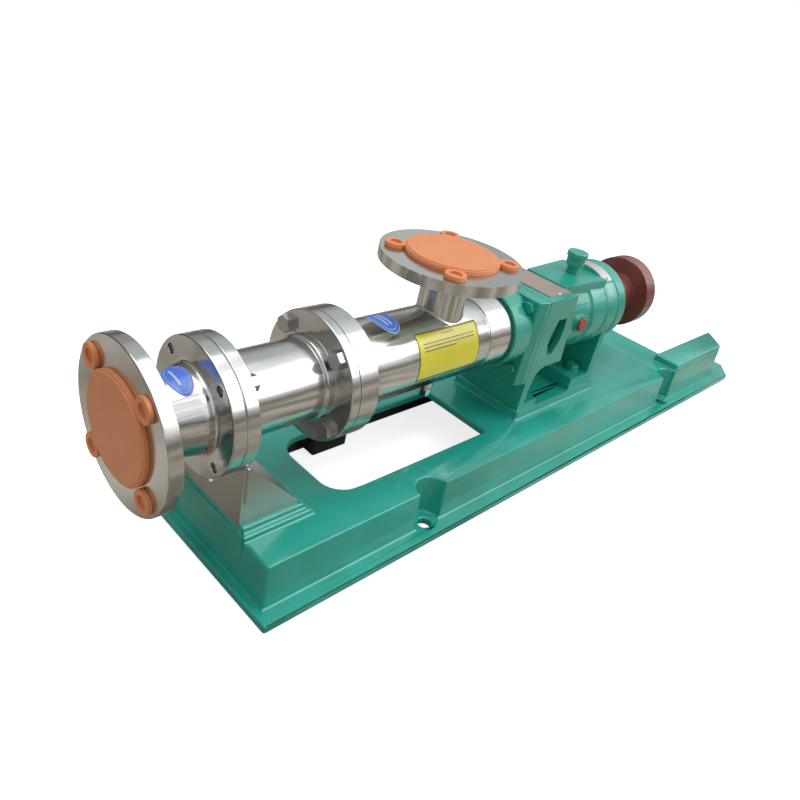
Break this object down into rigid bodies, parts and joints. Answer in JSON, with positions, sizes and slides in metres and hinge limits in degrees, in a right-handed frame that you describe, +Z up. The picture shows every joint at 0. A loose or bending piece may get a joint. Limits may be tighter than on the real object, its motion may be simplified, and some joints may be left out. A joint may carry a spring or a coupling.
{
  "type": "progressive cavity pump",
  "caption": "Horizontal progressive cavity pump on a cast base: helical rotor in a rubber stator, suction chamber, packed shaft seal, bearing pedestal and jaw coupling half.",
  "frame": {"origin": "centre of the four foundation holes, on the underside of the base", "axes": "+X along the pump axis from the discharge flange to the drive end, +Z up, +Y to the side away from the oil level plug"},
  "size_m": [1.3586, 0.28, 0.3386],
  "materials": {
    "green_paint": "gloss",
    "stainless": "polished",
    "rotor_chrome": "polished",
    "zinc_steel": "satin",
    "bearing_steel": "polished",
    "stator_rubber": "matte",
    "seal_rubber": "matte",
    "packing": "matte",
    "bronze": "satin",
    "copper_washer": "satin",
    "maroon_paint": "satin",
    "orange_plastic": "matte",
    "red_plastic": "gloss",
    "plate_metal": "satin"
  },
  "bodies": {
    "pump": {"base_plate": "green_paint", "support_saddle": "stainless", "saddle_screws": "zinc_steel", "discharge_body": "stainless", "stator_tube": "stainless", "stator_liner": "stator_rubber", "suction_chamber": "stainless", "drain_plug": "stainless", "drain_washer": "copper_washer", "front_flange_bolts": "zinc_steel", "front_flange_nuts": "zinc_steel", "rear_flange_bolts": "zinc_steel", "stuffing_box": "stainless", "box_o_ring": "seal_rubber", "packing_rings": "packing", "lantern_ring": "bronze", "gland_studs": "zinc_steel", "seal_adapter": "green_paint", "adapter_bolts": "green_paint", "chamber_screws": "zinc_steel", "bearing_pedestal": "green_paint", "pedestal_bolts": "zinc_steel", "pedestal_washers": "zinc_steel", "front_bearing_cover": "green_paint", "front_cover_screws": "zinc_steel", "front_lip_seal": "seal_rubber", "rear_bearing_cover": "green_paint", "rear_cover_screws": "zinc_steel", "rear_lip_seal": "seal_rubber", "front_bearing_outer_ring": "bearing_steel", "rear_bearing_outer_ring": "bearing_steel", "grease_cup_body": "green_paint", "oil_level_plug": "red_plastic", "nameplate": "plate_metal", "name_strip": "plate_metal", "nameplate_rivets": "zinc_steel"},
    "shaft": {"drive_shaft": "stainless", "slinger_ring": "seal_rubber", "shaft_joint_pin": "zinc_steel", "shaft_joint_sleeve": "stainless", "front_bearing_inner_ring": "bearing_steel", "rear_bearing_inner_ring": "bearing_steel", "bearing_spacer": "zinc_steel", "lock_washer": "zinc_steel", "lock_nut": "zinc_steel", "coupling_half": "maroon_paint", "coupling_key": "zinc_steel", "coupling_set_screw": "zinc_steel"},
    "orbit": {"rotor_joint_sleeve": "stainless"},
    "rotor": {"rotor": "rotor_chrome", "rotor_joint_pin": "zinc_steel"},
    "rod": {"connecting_rod": "stainless"},
    "front_balls": {"front_bearing_balls": "bearing_steel"},
    "rear_balls": {"rear_bearing_balls": "bearing_steel"},
    "gland": {"gland_follower": "stainless", "gland_nuts": "zinc_steel"},
    "cup_cap": {"grease_cup_cap": "green_paint"},
    "discharge_cover": {"discharge_cap": "orange_plastic"},
    "suction_cover": {"suction_cap": "orange_plastic"}
  },
  "joints": [
    {"name": "shaft_spin", "type": "hinge", "parent": "pump", "child": "shaft", "pos_m": [0, 0, 0.21], "axis": [1, 0, 0], "continuous": true},
    {"name": "rotor_orbit", "type": "hinge", "parent": "pump", "child": "orbit", "pos_m": [-0.411, 0, 0.21], "axis": [1, 0, 0], "continuous": true},
    {"name": "rotor_turn", "type": "hinge", "parent": "orbit", "child": "rotor", "pos_m": [-0.411, 0.006, 0.21], "axis": [1, 0, 0], "continuous": true},
    {"name": "rod_turn", "type": "hinge", "parent": "orbit", "child": "rod", "pos_m": [-0.411, 0.006, 0.21], "axis": [0.9995, -0.0316, 0], "continuous": true},
    {"name": "front_ball_set", "type": "hinge", "parent": "pump", "child": "front_balls", "pos_m": [0.0085, 0, 0.21], "axis": [1, 0, 0], "continuous": true},
    {"name": "rear_ball_set", "type": "hinge", "parent": "pump", "child": "rear_balls", "pos_m": [0.1015, 0, 0.21], "axis": [1, 0, 0], "continuous": true},
    {"name": "gland_slide", "type": "slide", "parent": "pump", "child": "gland", "axis": [1, 0, 0], "range_m": [0, 0.006]},
    {"name": "cup_cap_turn", "type": "hinge", "parent": "pump", "child": "cup_cap", "pos_m": [0.045, 0, 0.2963], "axis": [0, 0, 1], "range_deg": [0, 360]},
    {"name": "discharge_cap_pull", "type": "slide", "parent": "pump", "child": "discharge_cover", "axis": [-1, 0, 0], "range_m": [0, 0.06]},
    {"name": "suction_cap_pull", "type": "slide", "parent": "pump", "child": "suction_cover", "axis": [0, 0, 1], "range_m": [0, 0.06]}
  ],
  "couplings": [
    {"joint": "rotor_orbit", "follows": "shaft_spin", "ratio": -1},
    {"joint": "rotor_turn", "follows": "shaft_spin", "ratio": 2},
    {"joint": "rod_turn", "follows": "shaft_spin", "ratio": 2},
    {"joint": "front_ball_set", "follows": "shaft_spin", "ratio": 0.3846},
    {"joint": "rear_ball_set", "follows": "shaft_spin", "ratio": 0.3846}
  ]
}
